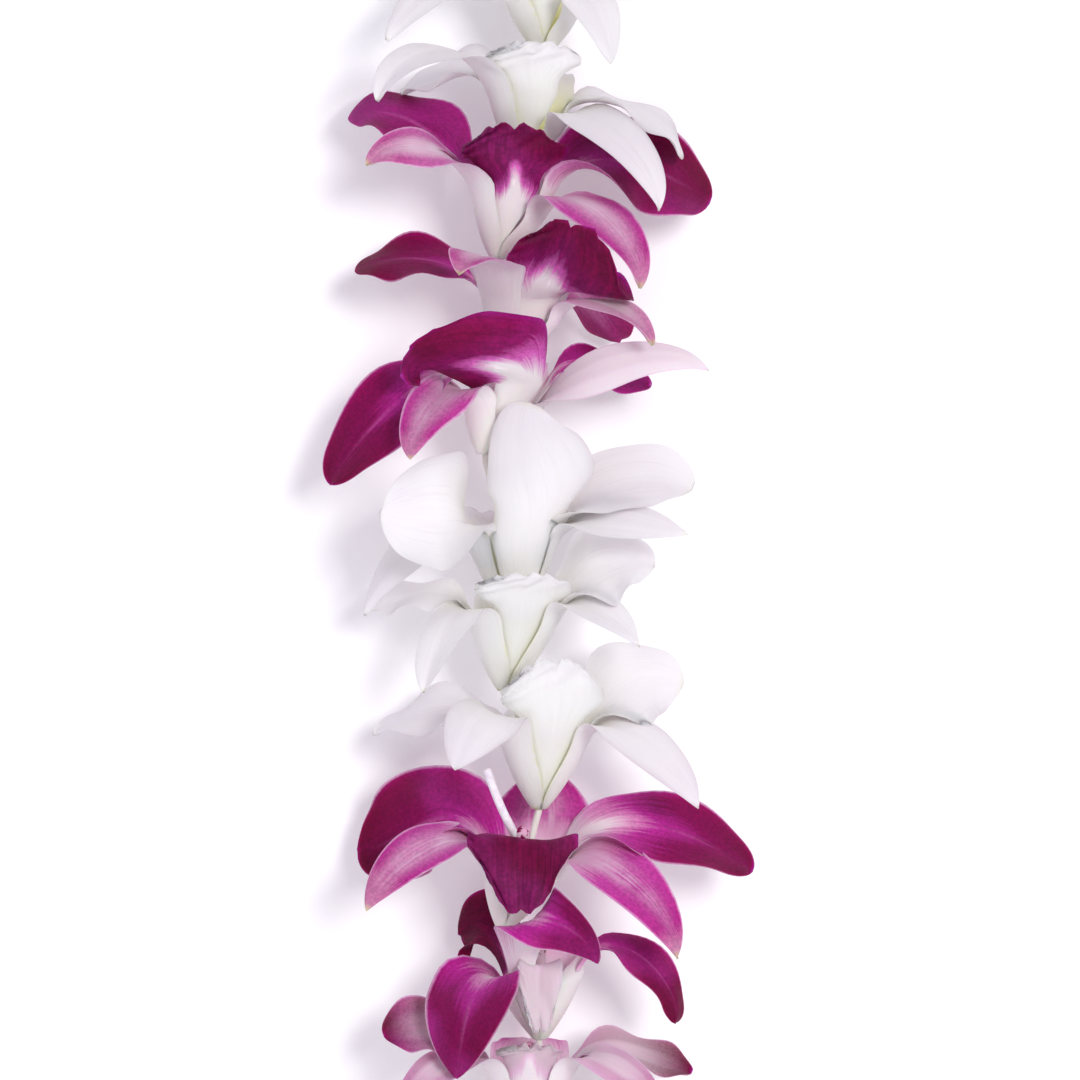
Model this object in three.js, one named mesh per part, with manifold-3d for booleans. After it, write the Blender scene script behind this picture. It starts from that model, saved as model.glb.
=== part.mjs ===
// A fresh orchid lei, laid down as a long loop on a table: orchid blooms threaded
// face to tail on one knotted cotton string, three white ones and then three purple ones in turn.
// Every bloom is one grown piece: a nectar cone, three sepals, two petals and a lip.
// Lengths are in millimetres, angles in degrees. +Z is up and the table is the plane z = 0.

import * as THREE from "three";
import { mergeVertices } from "three/addons/utils/BufferGeometryUtils.js";
import Module from "manifold-3d";

const wasm = await Module();
wasm.setup();

// The loop: two straight strands joined by two half circles.
const bloomCount = 48;
const bloomPitch = 19.2;
const straightPitches = 10.5;
const stringHeight = 20;
const loopLength = bloomCount * bloomPitch;
const straightRun = straightPitches * bloomPitch;
const endRadius = (loopLength - 2 * straightRun) / (2 * Math.PI);

const stringRadius = 0.6;
const stringSides = 5;
const knotRadius = 1.7;
const knotBloom = 29;
const knotAhead = 1.6;

// The nectar cone that carries the petals, as (radius, height) from its tip up to its rim and down
// the throat. The string runs through the hole that is left in its middle.
const holeRadius = 1.2;
const coneDepth = 14;
const throatDepth = 5.2;
const coneOutline = [
  [holeRadius, -coneDepth],
  [6.3, -8.6],
  [9.3, -2.4],
  [8.3, -0.5],
  [holeRadius, -throatDepth],
];

// How a petal leaves the rim, its thickness, and how its root widens into the cone.
const rimDirection = [0.37, 0.93];
const rimCurl = 0.122;
const bladeThickness = 1.1;
const rootDepth = 2.4;
const rootShare = 0.75;
const sinkSlope = 0.28;

// tipPull is the share of the way from rim to tip that the blade keeps the direction of its tip.
// curlReach and twistReach are the shares of its length by which it has its own curl and twist.
const tipPull = 0.38;
const curlReach = 0.45;
const twistReach = 0.6;

// How far a petal that meets the table slides back along it, for each mm that it would be below.
const floorDrag = 0.7;

// Where along a blade its sections stand, from its root at -1 up, and how many sides a cone has.
const posedSections = [-1, 0.28, 0.58, 0.84];
const looseSections = [-1, 0.36, 0.76];
const posedConeSides = 8;
const looseConeSides = 6;

// Steps along a blade over which its direction and its face are taken, and a length too small to see.
const directionStep = 0.01;
const faceStep = 0.05;
const tiny = 1e-6;

// Widths across, how high the blade rises before it bends over, and the curl across it per mm.
const shapes = {
  sepal: { width: 12.5, lift: 8, cup: 0.02, outline: sepalOutline, start: [8.1, -1.7] },
  petal: { width: 18.5, lift: 8, cup: 0.025, outline: petalOutline, start: [7.3, -1.8] },
  lip: { width: 17.5, lift: 7, cup: 0.05, outline: lipOutline, start: [5.2, -3] },
};

// Share of the full width at a share u of the way from the rim to the tip.
function sepalOutline(u) {
  return (0.7 + 0.3 * smooth(u / 0.25)) * Math.pow(1 - Math.pow(u, 2.4), 0.9);
}

function petalOutline(u) {
  return (0.34 + 0.66 * smooth(u / 0.5)) * Math.sqrt(1 - Math.pow(u, 4));
}

// Broad from the rim on, for petals that stand up round the throat.
function broadOutline(u) {
  return (0.6 + 0.4 * smooth(u / 0.4)) * Math.pow(1 - Math.pow(u, 3.4), 0.5);
}

function lipOutline(u) {
  return (0.3 + 0.7 * smooth(u / 0.55)) * Math.pow(1 - Math.pow(u, 5), 0.6);
}

function smooth(value) {
  const t = Math.min(1, Math.max(0, value));
  return t * t * (3 - 2 * t);
}

// One blade of a bloom. at is its bearing round the string from straight up, and reach and rise
// are how far out and how far forward of the rim its tip lies. droop is the way the tip points,
// 0 outwards, 90 forwards and -90 backwards. sway turns the tip round the string, twist turns the
// blade's face about its own length, uneven widens one half and narrows the other by that share, and
// sink lets the blade leave the cone that far below the rim.
function blade(shape, at, reach, rise, droop, more = {}) {
  const sink = more.sink ?? 0;
  const [r, h] = shapes[shape].start;
  const start = [r - sinkSlope * sink, h - sink];
  const plain = { sway: 0, twist: 0, uneven: 0, rimCurl };
  return { at, reach, rise, droop, ...plain, ...shapes[shape], ...more, start };
}

// The eleven blooms of the strand that is seen, from its front end back: along is the place on the
// strand, aside the shift to its right and tail the sideways lean of the cone's tip.
const posedBlooms = [
  {
    along: 100, aside: 4.4, tail: 0.7,
    blades: [
      blade("sepal", -68, 29, -12.7, -60, { twist: -25 }),
      blade("sepal", 45, 17, -17, -85, { sink: 5, twist: 15 }),
      blade("sepal", 178, 25, 2, -15),
      blade("petal", -116, 30, 4, -25, { twist: -30 }),
      blade("petal", 104, 30, 4, -25, { twist: 30 }),
      blade("lip", 5, 12, 9, 55),
    ],
  },
  {
    along: 80.5, aside: 3.5, tail: -2,
    blades: [
      blade("sepal", -65, 30, -4, -80, { lift: 13, twist: -25, width: 14 }),
      blade("sepal", 50, 29.5, -23.5, -90, { sink: 6, lift: 7, twist: 18, width: 15 }),
      blade("sepal", 180, 25, 2, -15),
      blade("petal", -122, 28, 0, -25, { twist: -30 }),
      blade("petal", 96, 27, -13, -75, { sink: 3, lift: 6, twist: 20 }),
      blade("lip", 0, 11, 7, 60),
    ],
  },
  {
    along: 63.7, aside: 0.5, tail: -3.5,
    blades: [
      blade("sepal", -72, 27.5, 2, -50, { lift: 8, twist: -48, width: 13.5 }),
      blade("sepal", 55, 28, -20, -100, { sink: 5, lift: 9, twist: 20, width: 15 }),
      blade("sepal", 178, 24, 0, -15),
      blade("petal", -105, 31, 11.5, -25, { twist: -35 }),
      blade("petal", 91.6, 35.7, -3.6, -36, { lift: 10, sway: 12, width: 23, twist: 58, outline: broadOutline }),
      blade("lip", 0, 12, 9, 60, { width: 19.5 }),
    ],
  },
  {
    along: 44.3, aside: 2.7, tail: -4.4,
    blades: [
      blade("sepal", -30, 23.7, 1.6, -60, { lift: 9, twist: -15, width: 14.5 }),
      blade("sepal", 62, 26.3, -10.3, -75, { sink: 4, lift: 7, width: 11, twist: 15 }),
      blade("sepal", 180, 24, 0, -15),
      blade("petal", -98, 31, 3.5, -25, { twist: -34, width: 17.5 }),
      blade("petal", 130, 22, -8.5, -30),
      blade("lip", 18.7, 21, 11, 73, { lift: 2, sway: 3, width: 24.4, twist: -47, uneven: -0.3 }),
    ],
  },
  {
    along: 29.2, aside: 0, tail: -5.5,
    blades: [
      blade("sepal", -62, 20, -15.4, -85, { lift: 6, twist: -20, width: 15 }),
      blade("sepal", 75, 36.3, 0.6, -35, { sink: 6, lift: 5, twist: 60, width: 12.5 }),
      blade("sepal", 180, 24, 0, -15),
      blade("petal", -88, 32, -16, -60, { twist: -55, width: 16, outline: sepalOutline }),
      blade("petal", 112, 27, -1.5, -15, { twist: 60, width: 10 }),
      blade("lip", 16, 16.8, -0.1, -150, { lift: 4, sway: -87, width: 21, twist: 36, uneven: -0.15 }),
    ],
  },
  {
    along: 0.9, aside: -0.7, tail: 0.7,
    blades: [
      blade("sepal", 20, 11.7, 23.1, 60, { lift: 14, sway: -10, width: 16.8, twist: -40, outline: broadOutline }),
      blade("petal", -51, 26.6, 4, 8, { sway: -8, width: 25.5, cup: 0.05, twist: -88 }),
      blade("petal", 88, 32, 8, -30, { lift: 10, width: 21, twist: 40, outline: broadOutline }),
      blade("sepal", -88, 26, -14.3, -75, { twist: -35, width: 15 }),
      blade("sepal", 70, 33, 0, -15, { twist: 35, width: 14 }),
      blade("lip", 180, 14, 4, 20),
    ],
  },
  {
    along: -12.7, aside: 0, tail: -1.8,
    blades: [
      blade("sepal", -55, 19.3, -14, -80, { lift: 7, twist: -15 }),
      blade("sepal", 62, 25, -6, -50, { twist: 20 }),
      blade("sepal", 180, 24, 0, -15),
      blade("petal", -98, 25.5, 0.5, -20, { twist: -25, width: 15 }),
      blade("petal", 88, 25, 8, -20, { twist: 45, width: 22 }),
      blade("lip", 12, 13, 7, 50, { width: 18 }),
    ],
  },
  {
    along: -33.6, aside: 5.3, tail: -1,
    blades: [
      blade("sepal", -45, 22, -6.5, -65, { lift: 11, width: 16, twist: -30 }),
      blade("sepal", 65, 29.7, -13.3, -65, { width: 15, twist: 25 }),
      blade("sepal", 178, 24, 0, -15),
      blade("petal", -100, 31, -1, -30, { twist: -25 }),
      blade("petal", 98, 25, 8, -20, { twist: 55, width: 20 }),
      blade("lip", 12, 11, 13, 65, { lift: 10, width: 19.5 }),
    ],
  },
  {
    along: -54.9, aside: 2.7, tail: -4.6,
    blades: [
      blade("sepal", -68, 30.3, -10, -70, { lift: 10, width: 14, twist: -35 }),
      blade("sepal", 60, 31, -18, -85, { sink: 2, lift: 9, width: 16.5, twist: 30 }),
      blade("sepal", 165, 14, 15, 60, { width: 21 }),
      blade("petal", -108, 32, -0.6, 0, { lift: 17, cup: 0.05, twist: -80, width: 21.5, outline: broadOutline }),
      blade("petal", 92, 40, -4, -40, { lift: 12, twist: 45, width: 18, outline: broadOutline }),
      blade("lip", -3, 17, -10.3, -80, { lift: 13, width: 19.5, rimCurl: 0.04, cup: 0.01 }),
    ],
  },
  {
    along: -74.3, aside: 4.4, tail: 0,
    blades: [
      blade("sepal", -15.5, 24, 1.1, -73, { lift: 19, sway: 40, width: 13.5, twist: 66 }),
      blade("sepal", -66, 20.6, -19.5, -78, { sink: 3.7, lift: 9, sway: 21, width: 22, twist: -20 }),
      blade("sepal", 180, 24, 0, -15),
      blade("petal", 82, 24, -11, -105, { lift: 13, width: 8.5, twist: 50, outline: broadOutline }),
      blade("petal", -125, 17, 7, -20, { lift: 10, twist: -30 }),
      blade("lip", 0, 11, -12, -85, { width: 8 }),
    ],
  },
  {
    along: -92.4, aside: 2.7, tail: -1,
    blades: [
      blade("sepal", -60, 27, -8, -60, { twist: -20 }),
      blade("sepal", 60, 27, -8, -60, { twist: 20 }),
      blade("sepal", 180, 24, 0, -15),
      blade("petal", -82, 26, 5, -25, { twist: -35 }),
      blade("petal", 95, 29, -2, -20, { twist: 18 }),
      blade("lip", 0, 10, 4, 50, { width: 12 }),
    ],
  },
];

// A repeatable draw between low and high, so that the loop is the same each time.
let drawState = 20011;
function draw(low, high) {
  drawState = (drawState * 48271) % 2147483647;
  return low + ((high - low) * drawState) / 2147483647;
}

// A bloom of the rest of the loop: turned a little on the string, with each blade posed a little
// differently, and with its lip held up or bent back.
function looseBloom(along) {
  const turn = draw(-38, 38);
  const lipUp = draw(0, 1) < 0.6;
  const faceUp = (at, angle) => angle * Math.sin(THREE.MathUtils.degToRad(at + turn));
  const sepal = (at) =>
    blade("sepal", at + turn, draw(25, 28), draw(-9, -4), draw(-65, -45), {
      lift: draw(7, 9),
      twist: faceUp(at, draw(10, 35)),
    });
  const petal = (at) =>
    blade("petal", at + turn, draw(28, 31.5), draw(1, 5), draw(-35, -15), {
      cup: draw(0.015, 0.045),
      twist: faceUp(at, draw(15, 45)),
    });
  return {
    along,
    aside: 0,
    tail: 0,
    turn,
    blades: [
      sepal(-64),
      sepal(64),
      blade("sepal", 180 + turn, draw(23, 25), draw(-2, 2), draw(-25, -10)),
      petal(-116),
      petal(116),
      lipUp
        ? blade("lip", turn, 12, draw(7, 10), draw(50, 65))
        : blade("lip", turn, 16, draw(-9, -5), -75),
    ],
  };
}

function allBlooms() {
  const blooms = posedBlooms.map((bloom) => ({ ...bloom, along: straightRun / 2 + bloom.along }));
  const last = blooms[blooms.length - 1].along;
  const pitch = (loopLength + last - blooms[0].along) / (bloomCount - posedBlooms.length + 1);
  for (let k = 1; blooms.length < bloomCount; k++) blooms.push(looseBloom(last - k * pitch));
  return blooms;
}

// Three in six are white.
function isWhite(number) {
  return [0, 1, 5].includes(number % 6);
}

// A point given as across, along and above the string, carried to its place on the loop.
function onLoop(across, along, above) {
  const halfRun = straightRun / 2;
  const s = ((along % loopLength) + loopLength) % loopLength;
  const halfLoop = loopLength / 2;
  const half = s >= halfLoop ? -1 : 1;
  const onHalf = s >= halfLoop ? s - halfLoop : s;
  const turned = Math.max(0, onHalf - straightRun) / endRadius;
  const radius = endRadius - across;
  const x = -radius * Math.cos(turned);
  const y = Math.min(onHalf, straightRun) - halfRun + radius * Math.sin(turned);
  return new THREE.Vector3(half * x, half * y, above + stringHeight);
}

function bezier(points, t) {
  const r = 1 - t;
  const weights = [r * r * r, 3 * r * r * t, 3 * r * t * t, t * t * t];
  return [0, 1].map((i) => weights.reduce((sum, w, k) => sum + w * points[k][i], 0));
}

// The blade's midline as (radius, height), from rootDepth below the rim for u under 0.
function profile(b, u) {
  const [r, h] = b.start;
  if (u < 0) return [r + rimDirection[0] * u * rootDepth, h + rimDirection[1] * u * rootDepth];
  const angle = THREE.MathUtils.degToRad(b.droop);
  const tip = [b.reach, b.rise];
  const pull = tipPull * Math.hypot(tip[0] - r, tip[1] - h);
  const second = [r + rimDirection[0] * b.lift, h + rimDirection[1] * b.lift];
  const third = [tip[0] - pull * Math.cos(angle), tip[1] - pull * Math.sin(angle)];
  return bezier([b.start, second, third, tip], u);
}

// Where the blade's midline is at u, with the unit vectors along it, across it and off its face.
function bladeFrame(b, u) {
  const place = (at) => {
    const [r, h] = profile(b, at);
    const bearing = THREE.MathUtils.degToRad(b.at + b.sway * smooth(at));
    return new THREE.Vector3(r * Math.sin(bearing), h, r * Math.cos(bearing));
  };
  const back = u - directionStep;
  const on = Math.min(1, u + directionStep);
  const before = profile(b, back);
  const after = profile(b, on);
  const tangent = place(on).sub(place(back)).normalize();
  const bearing = THREE.MathUtils.degToRad(b.at + b.sway * smooth(u));
  const inward = before[1] - after[1];
  const forward = after[0] - before[0];
  const face = new THREE.Vector3(inward * Math.sin(bearing), forward, inward * Math.cos(bearing));
  const across = tangent.clone().cross(face).normalize();
  const twist = THREE.MathUtils.degToRad(b.twist * smooth(u / twistReach));
  across.applyAxisAngle(tangent, twist);
  return { centre: place(u), across, face: across.clone().cross(tangent).normalize() };
}

// A point of the blade's middle layer: u along it, v from -1 to 1 across it.
function bladePoint(bloom, b, u, v) {
  const { centre, across, face } = bladeFrame(b, u);
  const curl = b.rimCurl + (b.cup - b.rimCurl) * smooth(u / curlReach) + tiny;
  const share = u < 0 ? rootShare * b.outline(0) : b.outline(u);
  const offset = (v * b.width * share * (1 + b.uneven * v)) / 2;
  const point = centre
    .addScaledVector(across, Math.sin(curl * offset) / curl)
    .addScaledVector(face, (1 - Math.cos(curl * offset)) / curl);
  point.x += lean(bloom, profile(b, Math.min(0, u))[1]);
  return point;
}

// How far to the right the middle of the cone lies at a height below its rim.
function lean(bloom, height) {
  return bloom.aside + (bloom.tail * Math.max(0, -height)) / coneDepth;
}

// Petals that would reach below the table bend back along it.
function onTable(point, halfThickness) {
  const sunk = halfThickness - stringHeight - point.z;
  if (sunk > 0) {
    point.z += sunk;
    point.y -= floorDrag * sunk;
  }
  return point;
}

// Whether a point of a blade's middle layer is on the table, where its underside is flat.
function lies(point) {
  return point.z < bladeThickness / 2 - stringHeight + tiny;
}

// A closed blade with a diamond section: the two edges, and the middle of each face.
function bladeSolid(bloom, b, sections) {
  const corners = [];
  for (const u of sections) {
    const middle = onTable(bladePoint(bloom, b, u, 0), bladeThickness / 2);
    const left = onTable(bladePoint(bloom, b, u, -1), 0);
    const right = onTable(bladePoint(bloom, b, u, 1), 0);
    const ahead = onTable(bladePoint(bloom, b, Math.min(1, u + faceStep), 0), bladeThickness / 2);
    const behind = onTable(bladePoint(bloom, b, u - faceStep, 0), bladeThickness / 2);
    const face = right.clone().sub(left).cross(ahead.sub(behind)).normalize();
    if (lies(middle)) face.set(0, 0, Math.sign(face.z) || 1);
    face.multiplyScalar(bladeThickness / 2);
    corners.push([left, middle.clone().add(face), right, middle.clone().sub(face)]);
  }
  const tip = onTable(bladePoint(bloom, b, 1, 0), bladeThickness / 2);
  if (lies(tip)) tip.z = -stringHeight;
  const triangles = [[0, 1, 2], [0, 2, 3]];
  for (let ring = 0; ring + 1 < corners.length; ring++) {
    for (let side = 0; side < 4; side++) {
      const a = ring * 4 + side;
      const next = ring * 4 + ((side + 1) % 4);
      // Both faces split along lines from the edges, so that they stay apart on a twisted blade.
      if (side % 2 === 0) triangles.push([a, a + 4, next + 4], [a, next + 4, next]);
      else triangles.push([a, a + 4, next], [next, a + 4, next + 4]);
    }
  }
  const lastRing = (corners.length - 1) * 4;
  for (let side = 0; side < 4; side++) {
    triangles.push([lastRing + side, corners.length * 4, lastRing + ((side + 1) % 4)]);
  }
  return solidOf([...corners.flat(), tip], bloom.along, triangles);
}

// Points across, along and above the string, and triangles on them, as a solid on the loop.
function solidOf(points, along, triangles) {
  const placed = points.map((p) => {
    const q = onLoop(p.x, along + p.y, p.z);
    q.z = Math.max(0, q.z);
    return q;
  });
  const vertProperties = new Float32Array(placed.flatMap((q) => [q.x, q.y, q.z]));
  const build = (order) =>
    new wasm.Manifold(
      new wasm.Mesh({ numProp: 3, vertProperties, triVerts: new Uint32Array(order.flat()) }),
    );
  const made = build(triangles);
  return made.volume() < 0 ? build(triangles.map(([a, b, c]) => [a, c, b])) : made;
}

// The points of a three.js geometry, each moved by place, and its triangles.
function pointsOf(geometry, place) {
  geometry.deleteAttribute("normal");
  geometry.deleteAttribute("uv");
  const merged = mergeVertices(geometry);
  const at = merged.getAttribute("position");
  const points = [];
  for (let i = 0; i < at.count; i++) points.push(place(new THREE.Vector3().fromBufferAttribute(at, i)));
  const index = Array.from(merged.index.array);
  const triangles = [];
  for (let i = 0; i < index.length; i += 3) triangles.push(index.slice(i, i + 3));
  return { points, triangles };
}

// The funnel of a bloom, turned with it, from its rim down its throat and out at its tip.
function coneSolid(bloom, sides) {
  const outline = [...coneOutline, coneOutline[0]].map(([r, h]) => new THREE.Vector2(r, h));
  const lathe = new THREE.LatheGeometry(outline, sides, THREE.MathUtils.degToRad(bloom.turn ?? 0));
  const { points, triangles } = pointsOf(lathe, (p) => p.setX(p.x + lean(bloom, p.y)));
  return solidOf(points, bloom.along, triangles);
}

// The string's line through the blooms: down each throat and out at each cone's tip.
function stringRoute(blooms) {
  return blooms.flatMap((bloom) =>
    [throatDepth, coneDepth].map((depth) => [lean(bloom, -depth), bloom.along - depth]),
  );
}

// A closed tube along the string's line.
function tubeSolid(stops, radius) {
  const points = [];
  const triangles = [];
  stops.forEach(([across, along], ring) => {
    for (let side = 0; side < stringSides; side++) {
      const angle = ((side + 0.5) * 2 * Math.PI) / stringSides;
      points.push(new THREE.Vector3(across + radius * Math.cos(angle), along, radius * Math.sin(angle)));
      const next = (ring + 1) % stops.length;
      const a = ring * stringSides + side;
      const b = ring * stringSides + ((side + 1) % stringSides);
      const c = next * stringSides + side;
      const d = next * stringSides + ((side + 1) % stringSides);
      triangles.push([a, b, c], [b, d, c]);
    }
  });
  return solidOf(points, 0, triangles);
}

function bloomSolid(bloom, posed) {
  const sections = posed ? posedSections : looseSections;
  const cone = coneSolid(bloom, posed ? posedConeSides : looseConeSides);
  const whole = bloom.blades.reduce((sum, b) => sum.add(bladeSolid(bloom, b, sections)), cone);
  return whole.decompose().sort((a, b) => b.volume() - a.volume())[0];
}

// The string's ends are tied in a small knot, pulled down into the face of a bloom far from the
// posed ones.
function knotSolid(bloom) {
  const ball = new THREE.IcosahedronGeometry(knotRadius, 0);
  const { points, triangles } = pointsOf(ball, (p) => p);
  return solidOf(points, bloom.along + knotAhead, triangles);
}

function meshOf(solid, name, material) {
  const { numProp, vertProperties, triVerts } = solid.getMesh();
  const geometry = new THREE.BufferGeometry()
    .setAttribute("position", new THREE.BufferAttribute(vertProperties.slice(), numProp))
    .setIndex(new THREE.BufferAttribute(triVerts.slice(), 1));
  geometry.computeVertexNormals();
  const mesh = new THREE.Mesh(geometry, material);
  mesh.name = name;
  return mesh;
}

const petalMaterials = {
  white: new THREE.MeshStandardMaterial({ color: 0xf4eff2, roughness: 0.6, metalness: 0 }),
  purple: new THREE.MeshStandardMaterial({ color: 0xa02282, roughness: 0.6, metalness: 0 }),
};
const cottonMaterial = new THREE.MeshStandardMaterial({ color: 0xf2efe6, roughness: 0.9, metalness: 0 });

function buildLei() {
  const lei = new THREE.Group();
  const blooms = allBlooms();
  blooms.forEach((bloom, number) => {
    const colour = isWhite(number) ? "white" : "purple";
    const name = `${colour}_bloom_${String(number + 1).padStart(2, "0")}`;
    lei.add(meshOf(bloomSolid(bloom, number < posedBlooms.length), name, petalMaterials[colour]));
  });
  const string = tubeSolid(stringRoute(blooms), stringRadius).add(knotSolid(blooms[knotBloom]));
  lei.add(meshOf(string, "string", cottonMaterial));

  // The middle of the whole lei stands over the origin, with its lowest petals on the table.
  const box = new THREE.Box3().setFromObject(lei);
  const middle = box.getCenter(new THREE.Vector3());
  lei.children.forEach((piece) => piece.position.set(-middle.x, -middle.y, 0));
  return lei;
}

export default buildLei();
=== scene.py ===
# Fresh orchid lei: real petals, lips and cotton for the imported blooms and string, with light and camera.
# Shapes are worked out in millimetres: x across the strand, y along it and z above the string.
import math
from functools import partial

import bpy
import numpy as np
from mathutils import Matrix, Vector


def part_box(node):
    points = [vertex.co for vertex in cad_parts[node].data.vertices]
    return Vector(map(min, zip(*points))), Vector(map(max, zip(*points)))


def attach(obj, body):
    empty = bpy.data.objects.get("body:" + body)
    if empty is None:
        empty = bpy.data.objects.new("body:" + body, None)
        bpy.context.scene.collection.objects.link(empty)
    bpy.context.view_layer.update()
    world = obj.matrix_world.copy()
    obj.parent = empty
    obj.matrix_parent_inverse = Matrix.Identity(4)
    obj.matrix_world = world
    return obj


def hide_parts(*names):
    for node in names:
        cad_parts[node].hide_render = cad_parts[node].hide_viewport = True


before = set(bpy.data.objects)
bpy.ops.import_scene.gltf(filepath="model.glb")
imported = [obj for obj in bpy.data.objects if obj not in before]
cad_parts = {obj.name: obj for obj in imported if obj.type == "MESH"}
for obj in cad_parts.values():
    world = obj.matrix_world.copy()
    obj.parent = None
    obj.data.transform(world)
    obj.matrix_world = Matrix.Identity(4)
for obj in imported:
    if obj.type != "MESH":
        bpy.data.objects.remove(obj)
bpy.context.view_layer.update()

millimetre = 0.001

lei = {"bloomCount": 48, "pitch": 19.2, "straightPitches": 10.5, "stringHeight": 20, "stringRadius": 0.6,
       "knotBloom": 29, "knotAhead": 1.6, "whiteInSix": (0, 1, 5), "seed": 20011}
loopLength = lei["bloomCount"] * lei["pitch"]
straightRun = lei["straightPitches"] * lei["pitch"]
endRadius = (loopLength - 2 * straightRun) / (2 * math.pi)

# How a bloom is built: its nectar cone, and the way its petals leave the rim.
flower = {"coneDepth": 14, "coneTip": (1.3, -14), "tipFlare": (2.9, 3.4), "rimDirection": (0.37, 0.93),
          "rimCurl": 0.122, "rootDepth": 4, "throatDepth": 5.2, "clawOpening": 27, "leastSpan": 9,
          "sinkSlope": 0.28, "tipPull": 0.38, "wallPull": 0.4, "wallBeyond": 1.2, "twistedBy": 0.6,
          "cuppedBy": 0.45, "wallLeftBy": 0.34, "insetFade": 0.25, "petalNarrows": 0.25, "freeFrom": -0.12,
          "freeOver": 0.4, "freeSpan": 1.5, "floorDrag": 0.7, "floorSoftness": 0.8}

# thick is a petal's own thickness, and ruffle and waves make its wavy edge.
shapes = {
    "sepal": {"kind": 0, "width": 12.5, "lift": 8, "cup": 0.02, "start": (8.1, -1.7), "thick": 0.65,
              "ruffle": 0.25, "waves": 1.3},
    "petal": {"kind": 1, "width": 18.5, "lift": 8, "cup": 0.025, "start": (7.3, -1.8), "thick": 0.5,
              "ruffle": 0.95, "waves": 2.1},
    "lip": {"kind": 2, "width": 17.5, "lift": 7, "cup": 0.05, "start": (7.2, -2), "thick": 0.5,
            "ruffle": 0.8, "waves": 3.1, "roundness": 0.32, "point": 2.6},
}


def smooth(value):
    t = np.clip(value, 0, 1)
    return t * t * (3 - 2 * t)


def mix(low, high, share):
    return low + (high - low) * share


# A blade's outline: its root's width, where it is widest, how late it narrows and how blunt it ends.
# A lip is a fan, which draws in a little and ends broad.
outlineForms = {
    "sepal": {"root": 0.7, "widest": 0.25, "narrows": 2.4, "blunt": 0.9},
    "petal": {"root": 0.34, "widest": 0.5, "narrows": 3.6, "blunt": 0.58},
    "broad": {"root": 0.6, "widest": 0.4, "narrows": 3.4, "blunt": 0.5},
    "lip": {"root": 0.42, "widest": 0.4, "drawsIn": 0.28, "drawnFrom": 0.7},
}

# A lip's far edge: scallops, finer frills on them and a notch in the middle.
fanEdge = {"scallop": 0.022, "scallops": 7, "frill": 0.012, "frills": 23, "frillStart": 0.3, "notch": 0.06,
           "notchWidth": 0.1, "formedBy": 0.6}


# Share of the full width at a share u of the way from the rim to the tip.
def outlineWidth(name, u):
    form = outlineForms[name]
    width = mix(form["root"], 1, smooth(u / form["widest"]))
    if name == "lip":
        drawn = smooth((u - form["drawnFrom"]) / (1 - form["drawnFrom"]))
        return width * (1 - form["drawsIn"] * drawn)
    return width * np.power(1 - np.power(u, form["narrows"]), form["blunt"])


def fanReach(b, v):
    side = np.abs(v)
    scallops = fanEdge["scallop"] * np.sin(fanEdge["scallops"] * v + b["phase"]) * side
    frills = fanEdge["frill"] * np.sin(fanEdge["frills"] * v + 3 * b["phase"])
    frills = frills * smooth(side / fanEdge["frillStart"])
    notch = fanEdge["notch"] * np.exp(-((v / fanEdge["notchWidth"]) ** 2))
    return 1 - b["roundness"] * side ** b["point"] - notch + scallops + frills


# One blade of a bloom: at is its bearing round the string from straight up, reach and rise place its tip
# out from the string and forward of the rim, and droop is the way the tip points.
def blade(shape, at, reach, rise, droop, **more):
    sink = more.pop("sink", 0)
    r, h = shapes[shape]["start"]
    b = {"shape": shape, "at": at, "reach": reach, "rise": rise, "droop": droop, "sway": 0, "twist": 0,
         "outline": shape, **shapes[shape]}
    b.update(more)
    b["start"] = (r - flower["sinkSlope"] * sink, h - sink)
    return b


sepal, petal, lip = (partial(blade, shape) for shape in shapes)


# along and aside place a bloom on the strand, and tail is how far its cone's tip leans aside.
def pose(along, aside, tail, *blades, **more):
    return {"along": along, "aside": aside, "tail": tail, "blades": blades, **more}


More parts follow.
